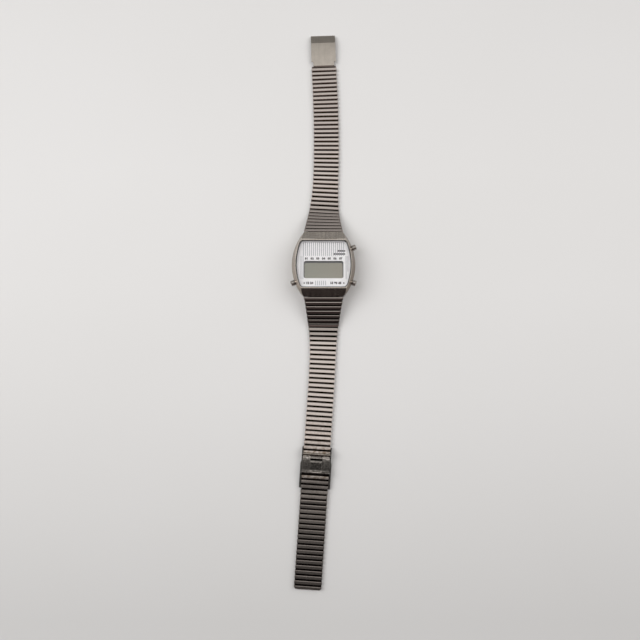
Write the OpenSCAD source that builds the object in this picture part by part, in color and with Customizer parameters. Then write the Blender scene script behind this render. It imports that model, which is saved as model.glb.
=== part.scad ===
// Digital wristwatch on a folded-link band, laid out open and face up on a table.
// The origin is on the table under the middle of the case. X points to 3 o'clock,
// Y to 12 o'clock and Z up. All sizes are in millimetres.

/* [Case] */
// Width of the case across its widest point
case_w = 24.2; // [24:0.1:26]
// Plan radius of the bowed sides
side_r = 19.3; // [19:0.1:24]
// Distance over the ends of the two hooded lugs
lug_to_lug = 25.3; // [25.2:0.1:26.5]
// Height of the bezel ridge above the table
case_h = 9.5; // [9.4:0.1:10.5]
// Height of the lug's upper edge at its end
hood_end_z = 7.2; // [7:0.1:7.5]
// Distance between the roots of the two hoods
hood_root_len = 19.5; // [19.2:0.1:19.7]
// Depth of the chamfer between the ridge and each hood
ridge_chamfer = 0.28; // [0.15:0.01:0.4]
// Thickness of the hood over the spring bar
hood_t = 0.7; // [0.5:0.05:0.8]
// How far the ridge's outer edge lies in from each side
flank_run = 1.3; // [1.1:0.05:1.4]
// How far the ridge and the crystal lie off the middle, towards 6 o'clock
ridge_shift = 0.32; // [0:0.02:0.36]
// Plan radius of the ridge along the sides
ridge_r = 20.8; // [20:0.1:26]
// Depth under the ridge at which the sloping flank meets the upright side
flank_depth = 3.7; // [3.3:0.1:3.8]
// Height at which the sides start to draw in towards the back
waist_z = 3.9; // [3:0.1:4]
// How far each side draws in at the bottom
waist_in = 1.0; // [0.4:0.1:1.1]

/* [Window] */
// Width of the metal beside the crystal, at the middle of each side
side_rim = 1.6; // [1.5:0.05:1.9]
// Width of the metal between the crystal and the root of each hood
end_rim = 0.72; // [0.6:0.02:0.8]
// Plan radius of the opening's sides
window_r = 23; // [21:0.5:30]
// How much the opening's corners are rounded off
corner_trim = 0.3; // [0.1:0.05:0.5]
// Width of the ledge that carries the crystal
ledge_w = 0.5; // [0.45:0.05:0.6]
// Thickness of the ledge
ledge_t = 0.4; // [0.3:0.05:0.5]
// Thickness of the crystal
crystal_t = 1.05; // [0.8:0.05:1.1]
// How far the crystal's face lies under the ridge
crystal_drop = 0.35; // [0.3:0.05:0.5]
// Thickness of the crystal's gasket
gasket_t = 0.2; // [0.16:0.02:0.26]

/* [Dial and display] */
// Thickness of the dial plate
dial_t = 0.35; // [0.25:0.05:0.4]
// Width of the display window in the dial
lcd_window_w = 15; // [13:0.1:15.4]
// Height of the display window in the dial
lcd_window_l = 6.7; // [5:0.1:6.8]
// Corner radius of the display window
lcd_window_r = 0.8; // [0.3:0.1:1]
// Offset of the display window below the middle of the dial
lcd_shift = 2.35; // [2.1:0.05:2.4]
// Width of the display glass
lcd_w = 16.8; // [16:0.1:17]
// Height of the display's front glass
lcd_l = 8.0; // [7.6:0.1:8.2]
// How far the rear glass stands out past the front glass at each long edge
lcd_ledge = 0.6; // [0.4:0.05:0.65]
// Thickness of each of the display's two glass sheets
lcd_sheet_t = 0.65; // [0.5:0.05:0.65]

/* [Movement] */
// Gap all round between the module and the case
module_gap = 0.35; // [0.3:0.05:0.45]
// Thickness of the circuit board
board_t = 0.6; // [0.5:0.05:0.8]
// Height of the circuit board's upper face
board_top = 3.9; // [3.7:0.05:4]
// Diameter of the coin cell
cell_d = 9.5; // [7.9:0.1:9.6]
// Thickness of the coin cell
cell_t = 2.1; // [1.6:0.1:2.1]
// Diameter of the buzzer's piezo disc
piezo_d = 7; // [6:0.1:7.4]
// Thickness of the piezo disc
piezo_t = 0.2; // [0.15:0.01:0.24]
// Diameter of the quartz can
quartz_d = 2; // [1.4:0.1:2]
// Length of the quartz can
quartz_l = 6; // [5:0.1:6.4]
// Side of the square cover over the chip
chip_w = 4.6; // [3.5:0.1:4.8]
// Thickness of the chip's cover
chip_t = 1.1; // [0.8:0.05:1.3]
// Diameter of the trimmer
trimmer_d = 2.6; // [2:0.1:2.8]

/* [Back] */
// Thickness of the case back
back_t = 0.6; // [0.5:0.05:0.7]
// Wall of the case round the back opening, at the ends
back_wall = 0.95; // [0.9:0.05:1]
// Thickness of the case back's snap rim
rim_t = 0.5; // [0.4:0.05:0.6]
// Height of the snap rim
rim_h = 0.9; // [0.8:0.05:1.1]
// Width of the pry notch
notch_w = 3; // [2:0.1:4]

/* [Pushers] */
// Diameter of a pusher's head
head_d = 2.2; // [1.9:0.05:2.25]
// Length of a pusher's head
head_l = 1.5; // [1:0.05:1.8]
// Diameter of a pusher's stem
stem_d = 0.9; // [0.8:0.05:1]
// How far a pusher travels
pusher_travel = 0.6; // [0.4:0.05:0.65]
// Distance of the pushers from the middle line
pusher_y = 6.6; // [6.3:0.05:6.8]
// Height of the pushers' axes over the circuit board
pusher_rise = 0.95; // [0.9:0.01:1]
// Angle of the pushers' axes to the 3 o'clock line
pusher_angle = 24; // [20:0.5:26]
// Diameter of the springs' wire
wire_d = 0.12; // [0.1:0.01:0.14]

/* [Spring bars] */
// Distance of the spring bars from the middle line
bar_y = 11.25; // [11.2:0.01:11.35]
// Height of the spring bars
bar_z = 6.0; // [5.95:0.01:6.05]
// Width of the gap between the two ears of a lug
lug_gap = 12.5; // [11.5:0.1:12.8]
// Outer diameter of a spring bar's tube
bar_tube_d = 1.3; // [1.2:0.02:1.34]
// Bore of a spring bar's tube
bar_bore_d = 0.9; // [0.8:0.02:0.96]
// Diameter of a spring bar's tips
tip_d = 0.7; // [0.6:0.02:0.76]
// How far a tip reaches into its ear
tip_reach = 0.8; // [0.6:0.05:0.9]

/* [Band] */
// Width of the band along its narrow part
band_w = 10; // [9.5:0.1:10.4]
// Width of the band where it meets the case
band_root_w = 15; // [14:0.1:15.2]
// Number of links over which the band tapers
taper_links = 14; // [12:1:15]
// Distance from one hinge to the next in the upper half
upper_pitch = 1.77; // [1.76:0.005:1.85]
// Distance from one hinge to the next in the lower half
lower_pitch = 1.785; // [1.76:0.005:1.85]
// Gap between the faces of two links
seam = 0.55; // [0.5:0.01:0.6]
// Thickness of the folded sheet
sheet = 0.22; // [0.2:0.01:0.23]
// Height of a link
link_h = 1.5; // [1.45:0.01:1.6]
// Radius of the rolled bar at a link's front edge
bar_r = 0.2; // [0.18:0.01:0.21]
// Running clearance round a rolled bar
play = 0.07; // [0.06:0.005:0.08]
// Outer radius of the fold at a link's front edge
fold_r = 0.36; // [0.3:0.02:0.42]
// Crown of a link's face
crown = 0.03; // [0.02:0.005:0.06]
// How far a hinge tongue's ends lie in from the link's sides
tongue_inset = 0.15; // [0.1:0.05:0.5]

/* [Clasp] */
// Length of the clasp's body
clasp_l = 15.0; // [14.6:0.1:15.4]
// Thickness of the clasp's floor
clasp_floor = 0.3; // [0.25:0.01:0.35]
// Thickness of the clasp's walls
clasp_wall = 0.35; // [0.3:0.01:0.4]
// Clearance between the band and the clasp
clasp_gap = 0.1; // [0.08:0.01:0.14]
// Distance from the clasp's front to the middle of its catch bar
catch_at = 2.6; // [2.4:0.05:2.7]
// Diameter of the catch bar
catch_d = 0.78; // [0.6:0.02:0.8]
// Distance from the clasp's front to the lever's pin
lever_pin_at = 9.2; // [9:0.1:10]
// Length of the lever, from its pin to its front lip
lever_l = 6.05; // [5.9:0.05:6.1]
// Diameter of the lever's pin
lever_pin_d = 0.5; // [0.4:0.02:0.54]
// Thickness of the lever's plate
lever_t = 0.35; // [0.3:0.01:0.4]

/* [Hook plate] */
// Length of the hook plate
hook_l = 13.3; // [12.8:0.1:13.8]
// Width of the hook plate
hook_w = 9.9; // [9.5:0.1:10]
// Thickness of the hook plate's sheet
hook_t = 0.35; // [0.3:0.01:0.4]
// Clearance between the hook and the catch bar
hook_clearance = 0.04; // [0.03:0.01:0.08]

/* [Hidden] */
$fn = 64;

// Small overlap that keeps cuts clean
eps = 0.02;
// General fitting clearance between loose pieces
fit = 0.05;

// Case
half_w = case_w / 2;
half_l = lug_to_lug / 2;
window_w = case_w - 2 * side_rim;
window_l = hood_root_len - 2 * end_rim;
ridge_w = case_w - 2 * flank_run;
flank_z = case_h - flank_depth;
hood_root = hood_root_len / 2;
hood_root_z = case_h - ridge_chamfer;
hood_angle = atan2(hood_root_z - hood_end_z, half_l - hood_root);
ear_low_z = 5.4;
ear_foot = [11.9, 4.0];
bottom_l = 9.9;
case_base = back_t;
notch_in = 0.9;
ledge_top = case_h - crystal_drop - crystal_t;
dial_top = ledge_top - ledge_t;
lcd_top = dial_top - dial_t - 0.2;
flank_slope = (half_w - ridge_w / 2) / (case_h - flank_z);

// Cavity in the case, open at the back
cavity_l = bottom_l - back_wall;
cavity_w = window_w / 2 - 0.2;
cavity_r = window_r - 0.2;

// Spring bars and the end links' tubes
link_tube_r = bar_tube_d / 2 + fit;
link_tube_out = link_tube_r + sheet;
lug_bore_r = link_tube_out + 0.15;
hood_normal = [sin(hood_angle), cos(hood_angle)];
hood_along = [cos(hood_angle), -sin(hood_angle)];
hood_under = (hood_end_z + (half_l - bar_y) * tan(hood_angle) - bar_z) * cos(hood_angle) - hood_t;
tube_half = lug_gap / 2 - 0.1;
plunger_l = 1.8;
plunger_r = bar_bore_d / 2 - 0.03;

// Links
bar_h = bar_r + play + sheet;
bar_u = bar_r;
plate_front = bar_u - sheet / 2;
plate_low = link_h - sheet;
edge_cut = 0.08;
tongue_knee = 0.72;
last_corner_r = 1.1;
last_cut_l = 4 * lower_pitch;
curl_mid = bar_r + play + sheet / 2;
curl_open_in = 55;
curl_open_out = 39;
upper_sizes = [5, 6, 6, 6, 6, 6, 6];
lower_sizes = [4, 4, 4, 4, 5, 5, 5];
seat_size = 12;
tail_sizes = [6, 6, 6];
function total(list, k = 0) = k < len(list) ? list[k] + total(list, k + 1) : 0;
function before(list, k) = total([for (i = [0:1:k - 1]) list[i]]);
upper_count = total(upper_sizes);
seat_first = total(lower_sizes);
tail_first = seat_first + seat_size;
lower_count = tail_first + total(tail_sizes);
function band_width(i) = band_w + (band_root_w - band_w) * pow(max(0, 1 - i / taper_links), 1.7);

// Route of the band: where each link's hinge bar lies
first_bar_y = half_l - 0.15;
first_bar_z = hood_end_z - 0.98;
fall = first_bar_z - bar_h;
seat_lift = clasp_floor + 0.07;
function upper_share(i) = min(1, max(0, (7 - i) / 2.5));
function lower_share(i) = min(1, max(0, (7 - i) / 2));
upper_sum = total([for (i = [0:upper_count - 1]) upper_share(i)]);
lower_sum = total([for (i = [0:seat_first - 1]) lower_share(i)]);
function ramp(i, at) = i == at || i == at + 1 ? seat_lift / 2 / lower_pitch : 0;
function upper_slope(i) = asin(upper_share(i) * fall / upper_sum / upper_pitch);
function lower_sine(i) = lower_share(i) * fall / lower_sum / lower_pitch;
function lower_slope(i) = asin(lower_sine(i) - ramp(i, seat_first - 2) + ramp(i, tail_first));
function upper_yaw(i) = -lookup(i, [[0, 0.4], [6, 3.2], [11, 2.8], [20, 0.3], [37, -2.9], [41, -1.9]]);
function lower_yaw(i) = 180 - lookup(i, [[0, 0], [5, 0.2], [12, 2.2], [22, 3.9]]);
function heading(yaw, slope) = [-sin(yaw) * cos(slope), cos(yaw) * cos(slope), -sin(slope)];
upper_route = [for (i = 0, p = [0, first_bar_y, first_bar_z]; i <= upper_count;
    p = p + upper_pitch * heading(upper_yaw(i), upper_slope(i)), i = i + 1) p];
lower_route = [for (i = 0, p = [0, -first_bar_y, first_bar_z]; i <= lower_count;
    p = p + lower_pitch * heading(lower_yaw(i), lower_slope(i)), i = i + 1) p];

// Clasp, along the band from the first hinge bar of its seat
clasp_from = 1.2 * lower_pitch;
inner_half = band_w / 2 + clasp_gap;
clasp_base = -seat_lift - bar_h;
band_top = link_h - bar_h;
catch_z = band_top + 0.45 + catch_d / 2;
lever_z = band_top + 0.58;
knuckle_r = lever_pin_d / 2 + 0.03 + 0.22;
wing_from = 5.0;
wing_t = 0.3;
wall_rear_drop = 0.3;
wall_front_drop = 0.2;
lever_half = inner_half - 0.08;
lever_lip_r = 0.32;
lever_lip_w = 2.6;
lever_bar_back = 0.5;
lever_bar_w = 0.5;
lever_slot = [4.4, 0.75];
lever_slot_at = lever_bar_back + lever_bar_w;
lever_pad = [4.6, 3.6];
lever_pad_at = lever_l - lever_slot_at - lever_slot[1] - 0.15;
pad_edge = 0.2;

// Hook plate: extra gap to the last link, and the two bends of its sheet
hook_gap = 0.5;
hook_bend_at = 3.75;
hook_rise = 0.5;
hook_neck_l = 1.7;
hook_neck_in = 0.7;
hook_post_h = 0.6;

// Movement
frame_w = cavity_w - module_gap;
frame_l = cavity_l - module_gap / 2;
board_low = board_top - board_t;
lcd_low = lcd_top - 2 * lcd_sheet_t;
strip_y = lcd_l / 2 + lcd_ledge / 2;
strip_l = lcd_w - 5;
cell_at = [0.4, -2.7];
piezo_at = [-3.6, 3.6];
piezo_spring_at = [-4.4, 4.4];
chip_at = [3.1, 4.9];
quartz_at = [-3.3, 7.0];
trimmer_at = [frame_w - 3.25, 2.6];
screw_x = frame_w - 3.0;
screw_y = frame_l - 1.5;
screw_spots = [[-screw_x, -screw_y], [screw_x, -screw_y], [-frame_w + 2.1, 2.4]];
screw_r = 0.33;
screw_l = 1.9;
screw_head_r = 0.7;
screw_head_h = 0.5;

// Pushers: side along X, side along Y
upper_spot = [1, 1];
lower_spot = [1, -1];
left_spot = [-1, -1];
pusher_x = half_w - side_r + sqrt(side_r * side_r - pusher_y * pusher_y);
head_from = 0.1;
recess_depth = 1.0;
recess_r = head_d / 2 + fit;
seal_r = 0.8;
seal_l = 0.35;
pusher_z = board_top + pusher_rise;
pusher_way = [cos(pusher_angle), sin(pusher_angle)];
from_arc = [pusher_x - cavity_w + cavity_r, pusher_y];
arc_along = from_arc * pusher_way;
wall_in = arc_along - sqrt(arc_along * arc_along - from_arc * from_arc + cavity_r * cavity_r);
clip_at = wall_in + 0.49;
clip_t = 0.15;
clip_r = 0.75;
stem_in = clip_at + 0.4;
stem_clear = 1.0;
head_edge = 0.22;

// Side-bowed outline: straight ends, arcs for the sides, corners rounded off by trim.
module barrel(w, l, r, trim = 0) {
    corner = norm([w - r + sqrt(r * r - l * l), l]);
    intersection() {
        square([2 * w, 2 * l], center = true);
        translate([w - r, 0])
            circle(r, $fn = 180);
        translate([r - w, 0])
            circle(r, $fn = 180);
        circle(corner - trim, $fn = 180);
    }
}

// The crystal opening's outline drawn in by a margin.
module window_outline(inset) {
    translate([0, -ridge_shift])
        barrel(window_w / 2 - inset, window_l / 2 - inset, window_r - inset, corner_trim);
}

// The back cavity's outline drawn in by a margin.
module cavity_outline(inset) {
    barrel(cavity_w - inset, cavity_l - inset, cavity_r - inset, corner_trim);
}

// Extrudes a side view across the watch: the drawing's x runs along Y and its y along Z.
module across(width) {
    rotate([90, 0, 90])
        linear_extrude(height = width, center = true)
            children();
}

// A straight strip of sheet in a side view.
module strip(a, b, t) {
    translate(a)
        rotate(atan2(b[1] - a[1], b[0] - a[0]))
            translate([0, -t / 2])
                square([norm(b - a), t]);
}

// Corner points of a rectangle with rounded corners.
function rounded(w, l, r, steps = 5) = [
    for (q = [0:3], k = [0:steps])
        let (a = 90 * q + 90 * k / steps, sx = q == 0 || q == 3 ? 1 : -1, sy = q < 2 ? 1 : -1)
            [sx * (w / 2 - r) + r * cos(a), sy * (l / 2 - r) + r * sin(a)]
];

// Places children at the lug on side s, with Y pointing outwards.
module at_lug(s) {
    rotate([0, 0, s > 0 ? 0 : 180])
        children();
}

// Places children at a pusher, with Z pointing out of the case from its side.
module at_pusher(spot) {
    translate([spot[0] * pusher_x, spot[1] * pusher_y, pusher_z])
        rotate([0, 0, atan2(spot[1] * sin(pusher_angle), spot[0] * cos(pusher_angle))])
            rotate([0, 90, 0])
                children();
}

// Rings of points along a helix that stands on the XY plane.
function coil_points(r, wire, turns, h, steps, sides) = [
    for (k = [0:turns * steps], j = [0:sides - 1])
        let (a = 360 * k / steps, b = 360 * j / sides, reach = r + wire / 2 * cos(b))
            [reach * cos(a), reach * sin(a),
                wire / 2 + (h - wire) * k / (turns * steps) + wire / 2 * sin(b)]
];

// Coil spring of round wire.
module coil(r, wire, turns, h, steps = 10, sides = 5) {
    rings = turns * steps;
    ends = [[for (j = [0:sides - 1]) j], [for (j = [sides - 1:-1:0]) rings * sides + j]];
    walls = [
        for (k = [0:rings - 1], j = [0:sides - 1], half = [0, 1])
            let (n = (j + 1) % sides, a = k * sides, b = a + sides)
                half == 0 ? [a + j, b + j, b + n] : [a + j, b + n, a + n]
    ];
    polyhedron(coil_points(r, wire, turns, h, steps, sides), concat(ends, walls));
}

// Side view of the case with its hoods and ears, one end only.
function case_side(root) = [
    [bottom_l, case_base], ear_foot, [half_l, ear_low_z], [half_l, hood_end_z],
    [root, hood_root_z], [root - ridge_chamfer, case_h]
];

module case_form() {
    upper = case_side(hood_root - ridge_shift);
    lower = case_side(hood_root + ridge_shift);
    mirrored = [for (k = [len(lower) - 1:-1:0]) [-lower[k][0], lower[k][1]]];
    base_r = ridge_r + flank_slope * case_h;
    intersection() {
        linear_extrude(case_h)
            barrel(half_w, half_l, side_r);
        flank_cone(1, base_r);
        flank_cone(-1, base_r);
        waist_cone(1);
        waist_cone(-1);
        across(case_w)
            polygon(concat(upper, mirrored));
    }
}

// Cone that slopes the flank on one side.
module flank_cone(s, base_r) {
    translate([s * (ridge_w / 2 - ridge_r), -ridge_shift, 0])
        cylinder(h = case_h, r1 = base_r, r2 = ridge_r, $fn = 180);
}

// Cone that draws one side in towards the back.
module waist_cone(s) {
    low_r = side_r - waist_in;
    rise = (side_r - low_r) / (waist_z - case_base);
    translate([s * (half_w - side_r), 0, case_base])
        cylinder(h = case_h, r1 = low_r, r2 = low_r + rise * case_h, $fn = 180);
}

// Room under the hood for the end link, open outwards and downwards.
module lug_room() {
    top = [bar_y, bar_z] + hood_under * hood_normal;
    lip = [half_l, hood_end_z] - 0.05 * hood_along;
    back = bar_y - lug_bore_r + fit;
    across(lug_gap) {
        polygon([
            [back, bar_z], top - 0.3 * hood_along, lip - hood_t * hood_normal,
            lip + hood_normal, [half_l + 3, case_h], [half_l + 3, -1], [back, -1]
        ]);
        translate([bar_y, bar_z])
            circle(lug_bore_r);
    }
}

module pusher_bore() {
    translate([0, 0, -recess_depth])
        cylinder(h = 3, r = recess_r);
    translate([0, 0, -recess_depth - seal_l])
        cylinder(h = 1, r = seal_r + 0.02);
    translate([0, 0, -stem_in])
        cylinder(h = 3, r = stem_d / 2 + fit);
}

module case() {
    color("#8f8880")
    difference() {
        case_form();
        translate([0, 0, ledge_top])
            linear_extrude(case_h)
                window_outline(0);
        translate([0, 0, dial_top - eps])
            linear_extrude(case_h)
                window_outline(ledge_w);
        translate([0, 0, -1])
            linear_extrude(dial_top + 1)
                cavity_outline(0);
        translate([0, 0, -1])
            linear_extrude(case_base + 0.4 + 1)
                cavity_outline(-0.35);
        for (s = [1, -1])
            at_lug(s) {
                lug_room();
                translate([0, bar_y, bar_z])
                    rotate([0, 90, 0])
                        cylinder(h = lug_gap + 2 * tip_reach + 0.2, r = tip_d / 2 + 0.03, center = true);
            }
        for (spot = [upper_spot, lower_spot, left_spot])
            at_pusher(spot)
                pusher_bore();
    }
}

module crystal() {
    color("#dfe6e8", 0.35)
    translate([0, 0, ledge_top])
        linear_extrude(crystal_t)
            window_outline(gasket_t + 0.08);
}

module crystal_gasket() {
    color("#1c1c1c")
    translate([0, 0, ledge_top])
        linear_extrude(crystal_t - 0.15)
            difference() {
                window_outline(0.04);
                window_outline(0.04 + gasket_t);
            }
}

module dial() {
    color("#e9ebee")
    translate([0, 0, dial_top - dial_t])
        linear_extrude(dial_t - 0.01)
            difference() {
                cavity_outline(0.1);
                translate([0, -lcd_shift])
                    polygon(rounded(lcd_window_w, lcd_window_l, lcd_window_r));
            }
}

module lcd_panel() {
    color("#8b8f80")
    translate([0, -lcd_shift, lcd_low]) {
        translate([-lcd_w / 2, -lcd_l / 2 - lcd_ledge, 0])
            cube([lcd_w, lcd_l + 2 * lcd_ledge, lcd_sheet_t]);
        translate([-lcd_w / 2, -lcd_l / 2, 0])
            cube([lcd_w, lcd_l, 2 * lcd_sheet_t]);
    }
}

module module_frame() {
    color("#3a3d40")
    difference() {
        translate([0, 0, board_top])
            linear_extrude(dial_top - dial_t - board_top - 0.02)
                barrel(frame_w, frame_l, cavity_r, 0.3);
        translate([-lcd_w / 2 - fit, -lcd_shift - lcd_l / 2 - lcd_ledge - fit, lcd_low - 0.01])
            cube([lcd_w + 2 * fit, lcd_l + 2 * (lcd_ledge + fit), 5]);
        for (s = [-1, 1])
            translate([-strip_l / 2 - 0.1, s * strip_y - lcd_shift - 0.55, 0])
                cube([strip_l + 0.2, 1.1, dial_top]);
        for (spot = [upper_spot, lower_spot, left_spot])
            at_pusher(spot)
                stem_room();
        for (p = screw_spots)
            translate([p[0], p[1], board_low])
                cylinder(h = screw_l + 0.1, r = screw_r + 0.03);
    }
}

// Room for a pusher's stem and clip, open at the top so that the module can pass them.
module stem_room() {
    inner_end = -stem_in - pusher_travel - 0.35;
    translate([0, 0, inner_end])
        cylinder(h = -inner_end, r = stem_clear);
    translate([-pusher_z, -stem_clear, inner_end])
        cube([pusher_z, 2 * stem_clear, -inner_end]);
}

module connector_strips() {
    color("#2a2a2e")
    for (s = [-1, 1])
        translate([-strip_l / 2, s * strip_y - lcd_shift - 0.45, board_top])
            cube([strip_l, 0.9, lcd_low - board_top - 0.01]);
}

module circuit_board() {
    color("#2f6b3f")
    difference() {
        translate([0, 0, board_low])
            linear_extrude(board_t - 0.01)
                barrel(frame_w - 0.15, frame_l - 0.15, cavity_r, 0.3);
        for (p = screw_spots)
            translate([p[0], p[1], 0])
                cylinder(h = 2 * board_top, r = screw_r + 0.09);
    }
}

module chip_cover() {
    color("#151515")
    translate([chip_at[0], chip_at[1], board_low - chip_t])
        linear_extrude(chip_t - 0.01)
            polygon(rounded(chip_w, chip_w, 0.8));
}

module quartz_can() {
    color("#c9c9c4")
    translate([quartz_at[0], quartz_at[1], board_low - quartz_d / 2 - 0.02])
        rotate([0, 90, 0]) {
            cylinder(h = quartz_l - 0.6, d = quartz_d, center = true);
            translate([0, 0, quartz_l / 2 - 0.4])
                cylinder(h = 0.4, d = quartz_d + 0.02);
            for (s = [-0.35, 0.35])
                translate([0, s, quartz_l / 2])
                    cylinder(h = 1, r = 0.12);
        }
}

module trimmer() {
    color("#b9a46a")
    translate([trimmer_at[0], trimmer_at[1], board_low - 1.1])
        difference() {
            cylinder(h = 1.09, d = trimmer_d);
            translate([-trimmer_d, -0.15, -0.1])
                cube([2 * trimmer_d, 0.3, 0.4]);
        }
}

module battery() {
    color("#c4c6c8")
    translate([cell_at[0], cell_at[1], board_low - 0.05 - cell_t]) {
        cylinder(h = cell_t - 0.25, d = cell_d);
        cylinder(h = cell_t, d = cell_d - 1.4);
    }
}

module battery_clip() {
    low = board_low - 0.05 - cell_t - 0.16;
    reach = cell_d / 2 + 0.25;
    color("#b98a4a")
    translate([cell_at[0], cell_at[1], low]) {
        translate([-reach - 0.14, -1, 0])
            cube([2 * reach + 0.28, 2, 0.14]);
        for (s = [-1, 1])
            translate([s * (reach + 0.07) - 0.07, -1, 0])
                cube([0.14, 2, board_low - low - 0.01]);
    }
}

module piezo_disc() {
    color("#c8a95a")
    translate([piezo_at[0], piezo_at[1], back_t + 0.01]) {
        cylinder(h = piezo_t / 2, d = piezo_d);
        cylinder(h = piezo_t, d = piezo_d - 2);
    }
}

module piezo_spring() {
    color("#d0b070")
    translate([piezo_spring_at[0], piezo_spring_at[1], back_t + piezo_t + 0.02])
        coil(0.6, 0.16, 5, board_low - back_t - piezo_t - 0.04, 10, 6);
}

module case_back() {
    color("#a5a29c")
    difference() {
        union() {
            linear_extrude(back_t)
                barrel(half_w - waist_in - 0.25, bottom_l - 0.15, side_r - waist_in, 0.4);
            translate([0, 0, back_t - eps])
                linear_extrude(rim_h + eps)
                    difference() {
                        cavity_outline(0.06);
                        cavity_outline(0.06 + rim_t);
                    }
        }
        translate([half_w - waist_in - notch_in, -notch_w / 2, back_t / 2])
            cube([2 * notch_in, notch_w, back_t]);
    }
}

module back_gasket() {
    color("#202020")
    translate([0, 0, back_t + 0.01])
        linear_extrude(0.36)
            difference() {
                cavity_outline(-0.31);
                cavity_outline(-0.02);
            }
}

module module_screws() {
    color("#d2d2cf")
    for (p = screw_spots)
        translate([p[0], p[1], board_low - screw_head_h])
            difference() {
                union() {
                    cylinder(h = screw_head_h - 0.01, r = screw_head_r);
                    cylinder(h = screw_head_h + screw_l, r = screw_r);
                }
                translate([-screw_head_r - 0.1, -0.1, -0.1])
                    cube([2 * screw_head_r + 0.2, 0.2, 0.3]);
            }
}

module pusher_seals() {
    color("#181818")
    for (spot = [upper_spot, lower_spot, left_spot])
        at_pusher(spot)
            translate([0, 0, -recess_depth - seal_l / 2])
                rotate_extrude()
                    translate([(stem_d / 2 + seal_r) / 2 + 0.01, 0])
                        circle((seal_r - stem_d / 2) / 2 - 0.01, $fn = 24);
}

module pusher(spot) {
    color("#8a857e")
    at_pusher(spot)
        difference() {
            union() {
                translate([0, 0, head_from])
                    cylinder(h = head_l - head_edge, d = head_d);
                translate([0, 0, head_from + head_l - head_edge])
                    cylinder(h = head_edge, r1 = head_d / 2, r2 = head_d / 2 - head_edge);
                translate([0, 0, -stem_in])
                    cylinder(h = stem_in + head_from + 0.1, d = stem_d);
            }
            translate([0, 0, -clip_at])
                difference() {
                    cylinder(h = clip_t, r = stem_d);
                    translate([0, 0, -1])
                        cylinder(h = 2, r = stem_d / 2 - 0.15);
                }
        }
}

module pusher_spring(spot) {
    color("#c8c8c4")
    at_pusher(spot)
        translate([0, 0, -recess_depth + 0.01])
            coil(head_d / 2 - wire_d / 2 - 0.02, wire_d, 3, recess_depth + head_from - 0.02, 12, 6);
}

module pusher_clip(spot) {
    color("#3c3f42")
    at_pusher(spot)
        translate([0, 0, -clip_at + 0.02])
            linear_extrude(clip_t - 0.04)
                difference() {
                    circle(clip_r);
                    circle(stem_d / 2 - 0.13);
                    translate([0, -clip_r / 3])
                        square([2 * clip_r, 2 * clip_r / 3]);
                }
}

// Tube of a spring bar, between the two ears. Its rolled-in ends keep the plungers in.
module spring_bar(s) {
    color("#b4b2ad")
    at_lug(s)
        translate([0, bar_y, bar_z])
            rotate([0, 90, 0])
                difference() {
                    cylinder(h = lug_gap - 0.3, d = bar_tube_d, center = true);
                    cylinder(h = lug_gap + 1, r = tip_d / 2 + 0.03, center = true);
                    cylinder(h = lug_gap - 1.3, d = bar_bore_d, center = true);
                }
}

// Sprung tip: a plunger inside the tube and a thinner pin in the ear.
module bar_tip(s, side) {
    color("#c4c2bd")
    at_lug(s)
        translate([side * (lug_gap / 2 + tip_reach), bar_y, bar_z])
            rotate([0, -90 * side, 0]) {
                cylinder(h = tip_reach + 1.3, d = tip_d);
                translate([0, 0, tip_reach + 1.2])
                    cylinder(h = plunger_l, r = plunger_r);
            }
}

module bar_spring(s) {
    inner = lug_gap / 2 - 1.2 - plunger_l;
    color("#9d9d98")
    at_lug(s)
        translate([-inner + 0.02, bar_y, bar_z])
            rotate([0, 90, 0])
                coil(plunger_r - wire_d / 2 - 0.02, wire_d, 12, 2 * inner - 0.04, 8, 5);
}

// Side view of the bend between a link's front flange and its face.
module front_fold() {
    translate([plate_front + fold_r, link_h - fold_r])
        intersection() {
            difference() {
                circle(fold_r);
                circle(fold_r - sheet);
            }
            translate([-fold_r, 0])
                square(fold_r);
        }
}

// Side view of a link's face with its front flange and rolled bar.
module face_section(pitch, with_bar = true) {
    rear = plate_front + pitch - seam;
    half = (rear - plate_front) / 2;
    crown_r = (half * half + crown * crown) / (2 * crown);
    intersection() {
        union() {
            polygon([
                [plate_front + fold_r - eps, plate_low], [rear, plate_low],
                [rear, link_h - edge_cut - crown / 2], [rear - edge_cut, link_h],
                [plate_front + fold_r - eps, link_h]
            ]);
            front_fold();
        }
        translate([plate_front + half, link_h - crown_r])
            circle(crown_r, $fn = 180);
    }
    if (with_bar) {
        translate([plate_front, bar_h])
            square([sheet, link_h - fold_r - bar_h + eps]);
        translate([bar_u, bar_h])
            circle(bar_r, $fn = 32);
    }
}

// Side view of the tongue that hooks under the next link's bar.
module tongue_section(pitch) {
    next = [bar_u + pitch, bar_h];
    rear = plate_front + pitch - seam - sheet / 2;
    strip([rear, plate_low + eps], [rear, tongue_knee], sheet);
    translate([rear, tongue_knee])
        circle(sheet / 2);
    strip([rear, tongue_knee], next - [curl_mid, sheet / 2], sheet);
    translate(next)
        difference() {
            circle(bar_h, $fn = 48);
            circle(bar_r + play, $fn = 48);
            polygon([
                [0, 0], [bar_h * tan(curl_open_in), bar_h],
                [0, 2 * bar_h], [-bar_h * tan(curl_open_out), bar_h]
            ]);
        }
}

// One folded link. Y runs to the next link, and the origin is the axis of its own bar.
module link(pitch, w_front, w_rear, with_tongue = true) {
    w = max(w_front, w_rear);
    translate([0, -bar_u, -bar_h]) {
        trimmed(w_front, w_rear, pitch)
            across(w)
                face_section(pitch);
        if (with_tongue)
            across(w_rear - 2 * tongue_inset)
                tongue_section(pitch);
    }
}

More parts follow.
